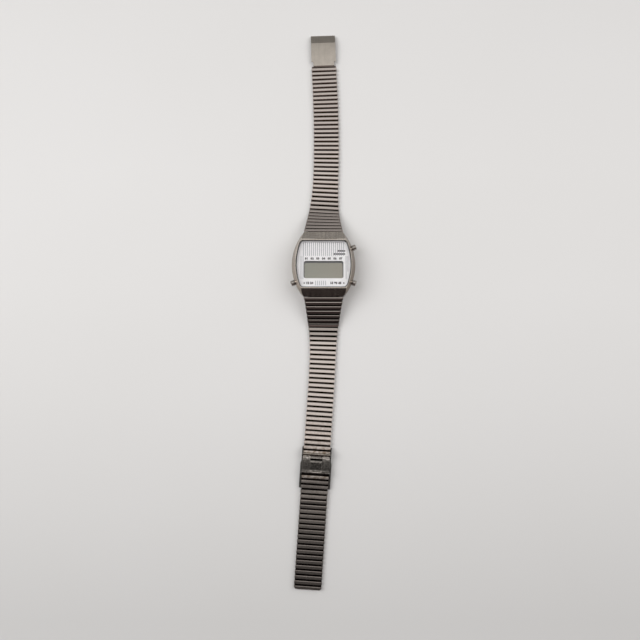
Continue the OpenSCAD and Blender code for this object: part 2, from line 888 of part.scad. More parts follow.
// Cuts a link's ends to the band's taper.
module trimmed(w_front, w_rear, pitch) {
    if (w_front - w_rear > 0.01)
        intersection() {
            children();
            linear_extrude(4, center = true)
                polygon([
                    [-w_front / 2, -0.2], [w_front / 2, -0.2],
                    [w_rear / 2, pitch], [-w_rear / 2, pitch]
                ]);
        }
    else
        children();
}

// The link next to the case: its front folds into a tube round the spring bar.
module end_link(pitch, slope) {
    w_front = band_width(0);
    w_rear = band_width(1);
    off = [bar_y - first_bar_y, bar_z - first_bar_z];
    tube = [
        bar_u + off[0] * cos(slope) - off[1] * sin(slope),
        bar_h + off[0] * sin(slope) + off[1] * cos(slope)
    ];
    translate([0, -bar_u, -bar_h]) {
        trimmed(w_front, w_rear, pitch)
            across(w_front)
                face_section(pitch, false);
        difference() {
            union() {
                across(2 * tube_half)
                    translate([plate_front, tube[1]])
                        square([sheet, link_h - fold_r - tube[1] + eps]);
                across(2 * tube_half)
                    translate(tube)
                        circle(link_tube_out);
            }
            across(2 * tube_half + 1)
                translate(tube)
                    circle(link_tube_r);
        }
        across(w_rear - 2 * tongue_inset)
            tongue_section(pitch);
    }
}

// Places children at a hinge bar of a route, with Y running on to the next bar.
module on_route(p, yaw, slope) {
    translate(p)
        rotate([0, 0, yaw])
            rotate([-slope, 0, 0])
                children();
}

module upper_links(group) {
    first = before(upper_sizes, group - 1);
    color("#a39c93")
    for (i = [first:first + upper_sizes[group - 1] - 1])
        on_route(upper_route[i], upper_yaw(i), upper_slope(i))
            if (i == 0)
                end_link(upper_pitch, upper_slope(0));
            else
                link(upper_pitch, band_width(i), band_width(i + 1));
}

module lower_run(first, count) {
    for (i = [first:first + count - 1])
        on_route(lower_route[i], lower_yaw(i), lower_slope(i))
            if (i == 0)
                end_link(lower_pitch, lower_slope(0));
            else if (i == lower_count - 1)
                last_link();
            else
                link(lower_pitch, band_width(i), band_width(i + 1));
}

// The last link has rounded outer corners and a plain folded rear edge.
module last_link() {
    rear = plate_front + lower_pitch - seam;
    intersection() {
        union() {
            link(lower_pitch, band_w, band_w, false);
            translate([0, -bar_u, -bar_h])
                across(band_w)
                    translate([rear - sheet, bar_h])
                        square([sheet, plate_low - bar_h + eps]);
        }
        translate([0, rear - bar_u - last_cut_l / 2, -link_h])
            linear_extrude(2 * link_h)
                polygon(rounded(band_w, last_cut_l, last_corner_r));
    }
}

module lower_links(group) {
    color("#c2b9ae")
    lower_run(before(lower_sizes, group - 1), lower_sizes[group - 1]);
}

module clasp_seat_links() {
    color("#b5ada3")
    lower_run(seat_first, seat_size);
}

module tail_links(group) {
    color("#7c7872")
    lower_run(tail_first + before(tail_sizes, group - 1), tail_sizes[group - 1]);
}

// Places children on the clasp: Y runs along the band from the clasp's front end.
module at_clasp() {
    on_route(lower_route[seat_first], lower_yaw(seat_first), 0)
        translate([0, clasp_from, 0])
            children();
}

// Side view of a clasp wall.
module wall_section() {
    polygon([
        [0, clasp_base], [clasp_l, clasp_base], [clasp_l, band_top - wall_rear_drop],
        [lever_pin_at + 1.6, band_top + 0.1], [lever_pin_at + 0.6, lever_z + knuckle_r],
        [lever_pin_at - 0.6, lever_z + knuckle_r], [lever_pin_at - 1.4, lever_z - 0.1],
        [catch_at + 1.6, lever_z - 0.1], [catch_at + 0.6, catch_z + catch_d / 2 + 0.1],
        [catch_at - 0.7, catch_z + catch_d / 2 + 0.1], [0, band_top - wall_front_drop]
    ]);
}

module clasp_body() {
    outer = inner_half + clasp_wall;
    color("#56524e")
    at_clasp()
        difference() {
            union() {
                translate([-outer, 0, clasp_base])
                    cube([2 * outer, clasp_l, clasp_floor]);
                for (s = [-1, 1]) {
                    translate([s * (inner_half + clasp_wall / 2), 0, 0])
                        across(clasp_wall)
                            wall_section();
                    translate([0, 0, clasp_base])
                        linear_extrude(band_top - wall_rear_drop - clasp_base)
                            polygon([
                                [s * (outer - eps), wing_from], [s * (outer + wing_t), wing_from + 1],
                                [s * (outer + wing_t), clasp_l], [s * (outer - eps), clasp_l]
                            ]);
                }
            }
            translate([0, catch_at, catch_z])
                rotate([0, 90, 0])
                    cylinder(h = 2 * outer + 1, d = catch_d + 0.02, center = true);
            translate([0, lever_pin_at, lever_z])
                rotate([0, 90, 0])
                    cylinder(h = 2 * outer + 1, d = lever_pin_d + 0.02, center = true);
        }
}

module catch_bar() {
    color("#9a8a63")
    at_clasp()
        translate([0, catch_at, catch_z])
            rotate([0, 90, 0])
                cylinder(h = 2 * (inner_half + clasp_wall), d = catch_d, center = true);
}

module lever_pin() {
    color("#8c8a86")
    at_clasp()
        translate([0, lever_pin_at, lever_z])
            rotate([0, 90, 0])
                cylinder(h = 2 * (inner_half + clasp_wall), d = lever_pin_d, center = true);
}

module lock_lever() {
    low = -lever_t / 2;
    color("#4a4743")
    at_clasp()
        translate([0, lever_pin_at, lever_z])
            difference() {
                union() {
                    across(2 * lever_half) {
                        circle(knuckle_r);
                        translate([-lever_l + lever_lip_r, low])
                            square([lever_l - lever_lip_r, lever_t]);
                    }
                    for (s = [-1, 1])
                        translate([s * (lever_half - lever_lip_w / 2), -lever_l + lever_lip_r, 0])
                            across(lever_lip_w)
                                circle(lever_lip_r);
                    translate([-lever_pad[0] / 2, -lever_pad_at, low - pad_edge])
                        cube([lever_pad[0], lever_pad[1], pad_edge + 0.05]);
                }
                across(2 * lever_half + 1)
                    circle(lever_pin_d / 2 + 0.03);
                translate([-lever_slot[0] / 2, -lever_l + lever_slot_at, -1])
                    cube([lever_slot[0], lever_slot[1], 2]);
                translate([-lever_slot[0] / 2, -lever_l - 0.01, -1])
                    cube([lever_slot[0], lever_bar_back + 0.01, 2]);
                translate([-lever_pad[0] / 2 + pad_edge, -lever_pad_at + pad_edge, low - 0.02 + pad_edge])
                    cube([lever_pad[0] - 2 * pad_edge, lever_pad[1] - 2 * pad_edge, 1]);
            }
}

// The plate at the end of the upper half: it lies over the clasp, and its curled
// end hooks round the catch bar.
module hook_plate() {
    hook_in = catch_d / 2 + hook_clearance;
    hook_out = hook_in + hook_t;
    start = plate_front + hook_gap;
    tip = [start + hook_l - hook_out, -bar_h + hook_out];
    bend = [start + hook_l - hook_bend_at, band_top + hook_rise];
    color("#a9a198")
    on_route(upper_route[upper_count], upper_yaw(upper_count), 0)
        translate([0, -bar_u, 0])
            difference() {
                union() {
                    across(hook_w - 2 * hook_neck_in) {
                        translate([bar_u, 0])
                            circle(bar_r, $fn = 32);
                        strip([bar_u, 0], [bar_u, hook_post_h], sheet);
                        strip([bar_u, hook_post_h - 0.05], [start + 0.12, band_top - 0.1], sheet);
                    }
                    across(hook_w) {
                        strip([start, band_top - hook_t / 2], bend, hook_t);
                        strip(bend, tip + [0, hook_out - hook_t / 2], hook_t);
                    }
                    across(hook_w)
                        translate(tip)
                            difference() {
                                circle(hook_out);
                                circle(hook_in);
                                translate([-2 * hook_out, -hook_in * 0.75])
                                    square([2 * hook_out, hook_out * 2]);
                            }
                }
                for (s = [-1, 1])
                    translate([s * hook_w / 2, start + hook_neck_l / 2 - 0.5, 0])
                        cube([2 * hook_neck_in, hook_neck_l + 1, 4 * link_h], center = true);
            }
}

case();
crystal();
crystal_gasket();
dial();
lcd_panel();
module_frame();
connector_strips();
circuit_board();
chip_cover();
quartz_can();
trimmer();
battery();
battery_clip();
piezo_disc();
piezo_spring();
case_back();
back_gasket();
module_screws();
pusher_seals();
pusher(upper_spot);  // upper_pusher
pusher(lower_spot);  // lower_pusher
pusher(left_spot);  // left_pusher
pusher_spring(upper_spot);  // upper_pusher_spring
pusher_spring(lower_spot);  // lower_pusher_spring
pusher_spring(left_spot);  // left_pusher_spring
pusher_clip(upper_spot);  // upper_pusher_clip
pusher_clip(lower_spot);  // lower_pusher_clip
pusher_clip(left_spot);  // left_pusher_clip
spring_bar(1);  // spring_bar_12
spring_bar(-1);  // spring_bar_6
bar_spring(1);  // bar_spring_12
bar_spring(-1);  // bar_spring_6
bar_tip(1, -1);  // tip_12_left
bar_tip(1, 1);  // tip_12_right
bar_tip(-1, 1);  // tip_6_left
bar_tip(-1, -1);  // tip_6_right
upper_links(1);  // upper_links_1
upper_links(2);  // upper_links_2
upper_links(3);  // upper_links_3
upper_links(4);  // upper_links_4
upper_links(5);  // upper_links_5
upper_links(6);  // upper_links_6
upper_links(7);  // upper_links_7
hook_plate();
lower_links(1);  // lower_links_1
lower_links(2);  // lower_links_2
lower_links(3);  // lower_links_3
lower_links(4);  // lower_links_4
lower_links(5);  // lower_links_5
lower_links(6);  // lower_links_6
lower_links(7);  // lower_links_7
clasp_seat_links();
tail_links(1);  // tail_links_1
tail_links(2);  // tail_links_2
tail_links(3);  // tail_links_3
clasp_body();
catch_bar();
lock_lever();
lever_pin();
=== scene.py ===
"""Dresses the digital wristwatch: materials, dial print, floor, light and camera.

Numbers are in metres, or in millimetres where the comment over them says so.
"""

import math

import bmesh
import bpy
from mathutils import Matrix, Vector


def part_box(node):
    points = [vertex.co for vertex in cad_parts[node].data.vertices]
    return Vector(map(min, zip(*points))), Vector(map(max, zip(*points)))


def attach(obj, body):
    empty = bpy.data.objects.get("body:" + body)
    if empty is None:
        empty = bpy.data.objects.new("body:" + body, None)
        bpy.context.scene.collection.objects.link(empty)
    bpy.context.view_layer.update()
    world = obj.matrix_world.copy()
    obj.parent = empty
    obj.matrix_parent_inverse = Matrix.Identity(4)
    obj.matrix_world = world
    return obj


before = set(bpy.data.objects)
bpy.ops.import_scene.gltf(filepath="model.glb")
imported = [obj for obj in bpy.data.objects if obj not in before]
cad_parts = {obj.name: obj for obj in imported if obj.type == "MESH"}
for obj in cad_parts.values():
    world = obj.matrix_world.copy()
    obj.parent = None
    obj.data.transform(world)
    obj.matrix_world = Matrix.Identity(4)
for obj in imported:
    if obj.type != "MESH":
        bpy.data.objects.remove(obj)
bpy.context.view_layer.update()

MM = 0.001
HEAD = "head"

# The photograph's camera: its tilt is in degrees, its lens and sensor in millimetres
CAMERA_AT = (-0.00134, -0.0616, 0.2633)
CAMERA_TILT = 8.9
CAMERA_LENS = 38.98
SENSOR = 36.0
NEAR_CLIP = 0.01

# Two soft panels that shine on the case's middle: name, place and power in watts
LAMPS = (("panel_right", (0.6, 0.1, 0.85), 3.1), ("panel_left", (-0.6, 0.1, 0.85), 5.5))
LAMP_SIZE = (0.5, 0.8)

# How bright the studio is, by how far a direction leans towards 12 o'clock
STUDIO = (
    (-1.0, 0.045), (-0.72, 0.05), (-0.56, 0.26), (-0.4, 0.3), (-0.27, 0.06), (-0.18, 0.08),
    (-0.09, 0.19), (-0.06, 0.36), (-0.035, 0.82), (0.2, 0.82), (0.28, 0.6), (0.35, 0.95),
    (0.43, 0.74), (0.5, 0.62), (0.6, 0.42), (0.8, 0.33), (1.0, 0.44),
)
DARK_TINT = (1.12, 0.9, 0.87)
BRIGHT_TINT = (1.0, 0.985, 0.96)
DARK_TINT_TO = -0.3

# The floor: half its side, and its grey by distance towards 12 o'clock in millimetres, a painted
# shade that darkens it towards the near edge
FLOOR_REACH = 6.0
FLOOR_SHADE = ((-130, 0.6), (-90, 0.67), (-50, 0.725), (-10, 0.76), (40, 0.77), (110, 0.75))

# Noise, in cells per metre: grain along the brushing, fine and soft grain across it, and the
# small marks that handling leaves
GRAIN_LONG = 110.0
GRAIN_FINE = 6000.0
GRAIN_SOFT = 2200.0
HANDLING_MARKS = 420.0

# Painted shade in the folds: how deep it reaches, and its colour where it is darkest
FOLD_SHADE_DEPTH = 0.8 * MM
FOLD_SHADE = (0.1, 0.07, 0.055)

# The band. By distance towards 12 o'clock in millimetres: its painted shade, what colour the
# painted shade in its folds keeps at its darkest, and how patchy its wear is
BAND_COLOUR = (0.72, 0.645, 0.602)
BAND_SHADE = (
    (-120, 0.62), (-100, 0.68), (-86, 0.8), (-84.6, 0.8), (-84.2, 0.5), (-80.4, 0.5),
    (-80.1, 0.88), (-77, 0.88), (-72.6, 0.4), (-71.2, 0.4), (-70.8, 1.0), (-29, 0.95),
    (-27, 0.66), (-21, 0.55), (-13, 0.9), (0, 0.8), (13, 0.66), (20, 0.66), (23, 0.72),
    (28, 0.9), (34, 0.93), (62, 0.9), (72, 0.96),
)
BAND_FOLD_SHADE = (
    (-30, (0.06, 0.045, 0.035)), (14, (0.16, 0.12, 0.1)),
    (40, (0.4, 0.33, 0.29)), (80, (0.58, 0.5, 0.46)),
)
BAND_WORN = (
    (-90, 0.15), (-80.2, 0.25), (-80, 0.8), (-76, 0.8), (-71, 1.0), (-69.2, 1.0),
    (-68.8, 0.35), (-62, 0.3), (-55, 0.0), (0, 0.0),
)

# The colour of the band's worn patches, and how much of a link's lean its shading keeps
BAND_PATCHES = (0.4, 0.33, 0.24)
LINK_EASE = 0.25

# The case: its colour, its rubbed edges, and the painted shade on its flanks and on its right side
CASE_COLOUR = (0.5, 0.455, 0.41)
CASE_RUBBED = (0.66, 0.61, 0.56)
CASE_FLANK_SHADE = (0.8, 0.75, 0.7)
CASE_RIGHT_SHADE = (0.6, 0.56, 0.52)

# How strong the streaks on the case's flanks are. Then, by distance towards 12 o'clock in
# millimetres: how strong those on top are, the painted shade on the case's lower end, and the
# painted shade that darkens the hook plate
FLANK_STREAKS = 0.3
CASE_STREAKS = ((-12, 1.0), (8, 0.4))
CASE_LOW_SHADE = ((-14, 0.72), (-11, 0.8), (-9, 1.0))
HOOK_SHADE = ((83, 1.0), (88, 0.92), (95, 0.7))

# The clasp: the middle of its front edge in millimetres, and the ways to its rear and its right
CLASP_AT = (-2.4, -68.44)
CLASP_WAY = (-0.068, -0.9977)
CLASP_ACROSS = (0.9977, -0.068)

# Where the lock lever is rubbed, by distance from the clasp's front edge in millimetres: beside its
# slot and in line with it, and how the one turns into the other across the clasp
LEVER_RUBBED = (0.64, 0.59, 0.54)
LEVER_SIDES = (
    (2.8, 1.0), (3.9, 1.0), (4.5, 0.35), (5.2, 0.12), (8.2, 0.06), (8.7, 0.4), (9.3, 0.4),
    (9.7, 0.12),
)
LEVER_MIDDLE = (
    (2.8, 0.5), (4.2, 0.5), (4.35, 0.04), (4.95, 0.05), (5.1, 0.5), (5.5, 0.45), (5.8, 0.03),
    (8.2, 0.03), (8.7, 0.8), (9.2, 0.8), (9.6, 0.12),
)
LEVER_ACROSS = ((-5.0, 1.0), (-2.4, 1.0), (-2.1, 0.0), (2.1, 0.0), (2.4, 1.0), (5.0, 1.0))

# Prints lie this far over what they are printed on
PRINT_LIFT = 0.004 * MM

# The dial's pinstripes, in millimetres: those over the top zone, those between the lower marks, and
# those beside the display, each with its place and its lower end
STRIPE_W = 0.25
STRIPE_PITCH = 0.758
FIRST_STRIPE = -7.59
TOP_STRIPES = range(21)
TOP_ZONE = (2.9, 8.5)
LOW_STRIPES = range(6, 12)
LOW_ZONE = (-8.4, -6.7)
SIDE_STRIPES = ((-8.5, -6.0), (-7.74, -6.0), (8.5, -6.0), (9.2, -3.2))

# Figures on the dial, in millimetres apart from their spacing, which is a factor. A weight is how
# far outlines are fattened, and each lower mark has its side, its figures and its place
FIGURE_SPACING = 1.12
FIGURE_SIZE = 1.06
DAY_PITCH = 2.155
DAY_ROW = 1.85
DAY_WEIGHT = 0.08
LOW_ROW = -7.57
LOW_WEIGHT = 0.1
LOW_MARKS = (("left", "12 24", -5.25), ("right", "15 30 45", 4.55))

# Arrowheads on the lower row, each with its place and its way, and dashes at upper right, each row
# with its height, its first dash and its count, in millimetres
ARROWS = ((-7.0, -1), (7.35, 1))
ARROW_L = 0.75
ARROW_HALF_W = 0.36
DASH_ROWS = ((4.85, 5.3, 4), (3.65, 3.8, 6))
DASH_PITCH = 0.75
DASH_W = 0.62
DASH_H = 0.6

# The dark border on the display's glass, in millimetres: print, with its broader upper edge a
# painted shadow of the dial's edge; it runs on under the dial
DISPLAY_OPENING = (15.0, 6.7)
BORDER_SIDE = 0.3
BORDER_TOP = 0.7
BORDER_UNDER = 0.4
BORDER_OUTER_R = 0.8
BORDER_INNER_R = 0.7

# The white ring on the crystal's ledge, in millimetres: the radius of the opening's sides, how much
# its corners are trimmed, and how far the ring's two edges lie inside the gasket's outer edge
WINDOW_RADIUS = 23.0
CORNER_TRIM = 0.3
RING_OUTER = 0.3
RING_INNER = 0.58


def fill_ramp(elements, stops):
    """Fills a colour ramp; each stop is a position and a colour or a grey value."""
    while len(elements) < len(stops):
        elements.new(0.5)
    for element, (position, colour) in zip(elements, stops):
        element.position = position
        if isinstance(colour, (int, float)):
            colour = (colour,) * 3
        element.color = (*colour, 1.0)


def shade(colour, factor):
    return tuple(min(1.0, part * factor) for part in colour)


def grain_scale(axis, fine):
    """Noise scale that is long along the brushing, X or Y, and fine across it."""
    return (GRAIN_LONG, fine, fine) if axis == "X" else (fine, GRAIN_LONG, GRAIN_LONG)


class Nodes:
    """A small helper that builds a material's node tree."""

    def __init__(self, name):
        self.material = bpy.data.materials.new(name)
        self.material.use_nodes = True
        self.tree = self.material.node_tree
        self.shader = self.tree.nodes["Principled BSDF"]
        self.coordinates = self.node("ShaderNodeTexCoord").outputs

    def node(self, kind, **settings):
        made = self.tree.nodes.new(kind)
        for key, value in settings.items():
            setattr(made, key, value)
        return made

    def link(self, source, target):
        self.tree.links.new(source, target)

    def set(self, **values):
        for key, value in values.items():
            socket = self.shader.inputs[key.replace("_", " ")]
            if socket.type == "RGBA":
                value = (*value, 1.0)
            socket.default_value = value

    def scaled(self, scale):
        """The place in the watch's own frame, times one number or one for each axis."""
        mapping = self.node("ShaderNodeMapping")
        mapping.inputs["Scale"].default_value = scale if isinstance(scale, tuple) else (scale,) * 3
        self.link(self.coordinates["Object"], mapping.inputs["Vector"])
        return mapping.outputs["Vector"]

    def noise(self, scale, detail=2.0, roughness=0.5):
        """Noise of a scale in cells per metre."""
        made = self.node("ShaderNodeTexNoise")
        made.inputs["Scale"].default_value = 1.0
        made.inputs["Detail"].default_value = detail
        made.inputs["Roughness"].default_value = roughness
        self.link(self.scaled(scale), made.inputs["Vector"])
        return made.outputs["Fac"]

    def streaks(self, axis, share):
        """Streaks along a brushing direction, X or Y: a share of soft ones among fine ones."""
        fine = self.noise(grain_scale(axis, GRAIN_FINE), 3.0, 0.6)
        return self.mix(share, fine, self.noise(grain_scale(axis, GRAIN_SOFT)))

    def open_air(self, distance):
        """How open a point is to its surroundings: 0 deep in a fold, 1 in the open."""
        made = self.node("ShaderNodeAmbientOcclusion", samples=8)
        made.inputs["Distance"].default_value = distance
        return made.outputs["AO"]

    def maths(self, operation, a, b=0.0):
        made = self.node("ShaderNodeMath", operation=operation)
        for socket, value in zip(made.inputs, (a, b)):
            if isinstance(value, (int, float)):
                socket.default_value = value
            else:
                self.link(value, socket)
        return made.outputs["Value"]

    def ramp(self, factor, *stops):
        """Colour ramp over a factor from 0 to 1."""
        made = self.node("ShaderNodeValToRGB")
        fill_ramp(made.color_ramp.elements, stops)
        self.link(factor, made.inputs["Fac"])
        return made.outputs["Color"]

    def varied(self, source, colour, spread):
        """A colour that a grey source makes darker and lighter by up to a share."""
        return self.ramp(source, (0.3, shade(colour, 1 - spread)), (0.7, shade(colour, 1 + spread)))

    def by_distance(self, way, *stops, start=(0, 0)):
        """Colour ramp over the distance from a point along a level direction, in millimetres."""
        near, far = stops[0][0], stops[-1][0]
        span = far - near
        dot = self.node("ShaderNodeVectorMath", operation="DOT_PRODUCT")
        self.link(self.coordinates["Object"], dot.inputs[0])
        dot.inputs[1].default_value = (*way, 0)
        share = self.maths("MULTIPLY_ADD", dot.outputs["Value"], 1 / (span * MM))
        offset = start[0] * way[0] + start[1] * way[1] + near
        share.node.inputs[2].default_value = -offset / span
        return self.ramp(share, *[((place - near) / span, colour) for place, colour in stops])

    def facing(self):
        """How far a face points along X, Y and Z."""
        split = self.node("ShaderNodeSeparateXYZ")
        self.link(self.coordinates["Normal"], split.inputs["Vector"])
        return split.outputs

    def worn_edges(self, radius):
        """1 on edges that handling has rubbed bright, 0 on the faces between them."""
        bevel = self.node("ShaderNodeBevel", samples=6)
        bevel.inputs["Radius"].default_value = radius
        dot = self.node("ShaderNodeVectorMath", operation="DOT_PRODUCT")
        self.link(bevel.outputs["Normal"], dot.inputs[0])
        self.link(self.node("ShaderNodeNewGeometry").outputs["Normal"], dot.inputs[1])
        return self.ramp(dot.outputs["Value"], (0.8, 1.0), (0.97, 0.0))

    def mix(self, factor, a, b, blend="MIX"):
        made = self.node("ShaderNodeMix", data_type="RGBA", blend_type=blend)
        for index, value in ((0, factor), (6, a), (7, b)):
            if isinstance(value, (int, float)):
                made.inputs[index].default_value = value if index == 0 else (*[value] * 3, 1.0)
            elif isinstance(value, tuple):
                made.inputs[index].default_value = (*value, 1.0)
            else:
                self.link(value, made.inputs[index])
        return made.outputs[2]

    def multiplied(self, base, *layers):
        for layer in layers:
            base = self.mix(1.0, base, layer, "MULTIPLY")
        return base

    def eased_normal(self, share):
        """The surface normal with less lean towards 12 o'clock on faces that are almost level."""
        facing = self.facing()
        keep = self.node("ShaderNodeMapRange")
        for name, value in (("From Min", 0.12), ("From Max", 0.3), ("To Min", share)):
            keep.inputs[name].default_value = value
        self.link(self.maths("ABSOLUTE", facing["Y"]), keep.inputs["Value"])
        joined = self.node("ShaderNodeCombineXYZ")
        self.link(facing["X"], joined.inputs["X"])
        self.link(self.maths("MULTIPLY", facing["Y"], keep.outputs["Result"]), joined.inputs["Y"])
        self.link(facing["Z"], joined.inputs["Z"])
        turned = self.node("ShaderNodeVectorTransform", vector_type="NORMAL",
                           convert_from="OBJECT", convert_to="WORLD")
        self.link(joined.outputs["Vector"], turned.inputs["Vector"])
        return turned.outputs["Vector"]

    def bump(self, height, strength, distance, normal=None):
        made = self.node("ShaderNodeBump")
        if normal:
            self.link(normal, made.inputs["Normal"])
        made.inputs["Strength"].default_value = strength
        made.inputs["Distance"].default_value = distance
        self.link(height, made.inputs["Height"])
        self.link(made.outputs["Normal"], self.shader.inputs["Normal"])

    def colour(self, source):
        self.link(source, self.shader.inputs["Base Color"])

    def roughness(self, source, low, high):
        """Roughness that follows a grey source from low to high."""
        made = self.node("ShaderNodeMapRange")
        made.inputs["To Min"].default_value = low
        made.inputs["To Max"].default_value = high
        self.link(source, made.inputs["Value"])
        self.link(made.outputs["Result"], self.shader.inputs["Roughness"])


def brushed_steel(name, colour, axis, rough=0.3, contrast=0.12, wear=0.08, fold=0.0, fade=()):
    """Steel brushed along one axis, with fine and soft streaks and small handling marks.

    With a fold distance, painted shade darkens what lies that deep between close faces; a fade
    is a painted shade by distance towards 12 o'clock.
    """
    m = Nodes(name)
    streaks = m.streaks(axis, 0.5)
    marks = m.noise(HANDLING_MARKS, 4.0, 0.65)
    layers = [m.ramp(marks, (0.35, 1 - wear), (0.65, 1.0))]
    # Painted shade where close faces hem a point in
    if fold:
        layers.append(m.ramp(m.open_air(fold), (0.15, FOLD_SHADE), (0.7, 1.0)))
    # Painted shade by distance towards 12 o'clock
    if fade:
        layers.append(m.by_distance((0, 1), *fade))
    m.colour(m.multiplied(m.varied(streaks, colour, contrast), *layers))
    m.set(Metallic=1.0)
    m.roughness(streaks, rough - 0.06, rough + 0.06)
    m.bump(streaks, 0.35, 2.5e-6)
    return m.material


def case_steel():
    """The case: brushed lengthways, rubbed bright along its edges; painted shade darkens its
    flanks, its right side, its lower end and its folds.
    """
    m = Nodes("case_steel")
    facing = m.facing()
    flank = m.ramp(m.maths("ABSOLUTE", facing["X"]), (0.35, 0.0), (0.6, 1.0))
    flank_grain = m.noise((GRAIN_LONG, GRAIN_LONG, GRAIN_FINE), 3.0, 0.6)
    streaks = m.mix(flank, m.streaks("Y", 0.65), flank_grain)
    strong = m.ramp(streaks, (0.32, shade(CASE_COLOUR, 0.55)), (0.68, shade(CASE_COLOUR, 1.4)))
    contrast = m.mix(flank, m.by_distance((0, 1), *CASE_STREAKS), FLANK_STREAKS)
    # Handling marks, then painted shade: on the flanks, on the right side, on the lower end and in
    # folds
    tone = m.multiplied(
        m.mix(contrast, CASE_COLOUR, strong),
        m.ramp(m.noise(HANDLING_MARKS, 4.0, 0.65), (0.35, 0.88), (0.65, 1.0)),
        m.ramp(facing["Z"], (0.36, CASE_FLANK_SHADE), (0.6, 1.0)),
        m.ramp(facing["X"], (0.25, 1.0), (0.7, CASE_RIGHT_SHADE)),
        m.by_distance((0, 1), *CASE_LOW_SHADE),
        m.ramp(m.open_air(FOLD_SHADE_DEPTH), (0.2, (0.07, 0.05, 0.04)), (0.75, 1.0)),
    )
    rubbed = m.multiplied(m.worn_edges(0.12 * MM), 0.7)
    m.colour(m.mix(rubbed, tone, CASE_RUBBED))
    m.set(Metallic=1.0)
    m.roughness(streaks, 0.2, 0.3)
    m.bump(streaks, 0.3, 1.5e-6)
    return m.material


def pusher_steel():
    """The pushers: bright caps, with painted shade around them where close faces hem them in."""
    m = Nodes("pusher_steel")
    cloud = m.noise(1200.0, 3.0, 0.6)
    base = m.ramp(cloud, (0.3, (0.4, 0.37, 0.34)), (0.7, (0.54, 0.51, 0.48)))
    # Painted shade where close faces hem the pusher in
    painted_fold_shade = m.ramp(m.open_air(1.2 * MM), (0.45, (0.08, 0.06, 0.05)), (0.85, 1.0))
    m.colour(m.multiplied(base, painted_fold_shade))
    m.set(Metallic=1.0)
    m.roughness(cloud, 0.08, 0.22)
    m.bump(cloud, 0.15, 4e-6)
    return m.material


def band_steel():
    """The links' brushed steel: bright along the middle, with painted shade by the lugs, under the
    clasp, along the tail and in the folds, and worn patches by the clasp.
    """
    m = Nodes("band_steel")
    streaks = m.streaks("X", 0.5)
    patches = m.noise((700.0, 900.0, 700.0), 5.0, 0.7)
    worn = m.by_distance((0, 1), *BAND_WORN)
    dirt = m.mix(worn, 1.0, m.ramp(patches, (0.38, BAND_PATCHES), (0.6, 1.05)))
    # Painted shade in the folds, held no darker than the band's limit at each place
    folds = m.ramp(m.open_air(1.0 * MM), (0.15, (0.05, 0.04, 0.03)), (0.7, 1.0))
    painted_fold_shade = m.mix(1.0, folds, m.by_distance((0, 1), *BAND_FOLD_SHADE), "LIGHTEN")
    # Painted shade by place along the band: by the lugs, under the clasp and along the tail
    painted_band_shade = m.by_distance((0, 1), *BAND_SHADE)
    m.colour(m.multiplied(m.varied(streaks, BAND_COLOUR, 0.08), painted_band_shade, dirt, painted_fold_shade))
    m.set(Metallic=1.0)
    m.roughness(streaks, 0.09, 0.2)
    m.bump(streaks, 0.35, 2.5e-6, m.eased_normal(LINK_EASE))
    return m.material


def lever_steel():
    """The lock lever: dark and pitted, rubbed bright along its lips, its crest and its edges."""
    m = Nodes("lever_steel")
    pits = m.noise(1900.0, 4.0, 0.7)
    scuffs = m.noise(1500.0, 4.0, 0.65)
    pitted = m.ramp(pits, (0.36, 0.008), (0.56, (0.032, 0.029, 0.026)), (0.7, (0.11, 0.1, 0.092)))
    middle = m.by_distance(CLASP_WAY, *LEVER_MIDDLE, start=CLASP_AT)
    sides = m.by_distance(CLASP_WAY, *LEVER_SIDES, start=CLASP_AT)
    zone = m.mix(m.by_distance(CLASP_ACROSS, *LEVER_ACROSS, start=CLASP_AT), middle, sides)
    rubbed = m.multiplied(zone, m.ramp(scuffs, (0.4, 0.25), (0.58, 1.0)))
    edges = m.multiplied(m.worn_edges(0.16 * MM), 0.3)
    m.colour(m.mix(m.mix(1.0, rubbed, edges, "LIGHTEN"), pitted, LEVER_RUBBED))
    m.set(Metallic=1.0)
    m.roughness(pits, 0.4, 0.28)
    m.bump(pits, 0.5, 1.2e-5)
    return m.material


def turned_metal(name, colour, rough=0.25):
    """Bright drawn or turned metal with faint mottling."""
    m = Nodes(name)
    cloud = m.noise(1200.0, 3.0, 0.6)
    m.colour(m.ramp(cloud, (0.3, shade(colour, 0.82)), (0.7, shade(colour, 1.1))))
    m.set(Metallic=1.0)
    m.roughness(cloud, rough - 0.06, rough + 0.08)
    m.bump(cloud, 0.15, 4e-6)
    return m.material


def moulded(name, colour, rough=0.5, scale=3500.0):
    """Moulded plastic, rubber or resin with a fine matt texture over a broad one."""
    m = Nodes(name)
    fine = m.noise(scale, 4.0, 0.6)
    m.colour(m.varied(m.mix(0.5, fine, m.noise(scale / 12)), colour, 0.15))
    m.roughness(fine, rough - 0.08, rough + 0.1)
    m.bump(fine, 0.3, 1e-5)
    return m.material


def dial_white():
    m = Nodes("dial_white")
    cloud = m.noise(300.0, 3.0)
    m.colour(m.ramp(cloud, (0.3, (0.79, 0.795, 0.82)), (0.7, (0.85, 0.855, 0.88))))
    fine = m.noise(5000.0)
    m.roughness(fine, 0.35, 0.5)
    m.bump(fine, 0.1, 3e-6)
    return m.material


def print_ink(name, colour):
    m = Nodes(name)
    cloud = m.noise(4000.0, 3.0)
    m.colour(m.varied(cloud, colour, 0.15))
    m.roughness(cloud, 0.4, 0.6)
    return m.material


def display_glass():
    """Blank liquid crystal display: grey-green, a little browner to the right."""
    m = Nodes("display_glass")
    base = m.by_distance((1, 0), (-7, (0.19, 0.195, 0.152)), (7, (0.216, 0.199, 0.155)))
    grain = m.noise(2500.0)
    m.colour(m.mix(0.12, base, m.ramp(grain, (0.3, 0.15), (0.7, 0.4))))
    m.set(Coat_Weight=0.4, Coat_Roughness=0.05)
    m.roughness(grain, 0.3, 0.4)
    return m.material


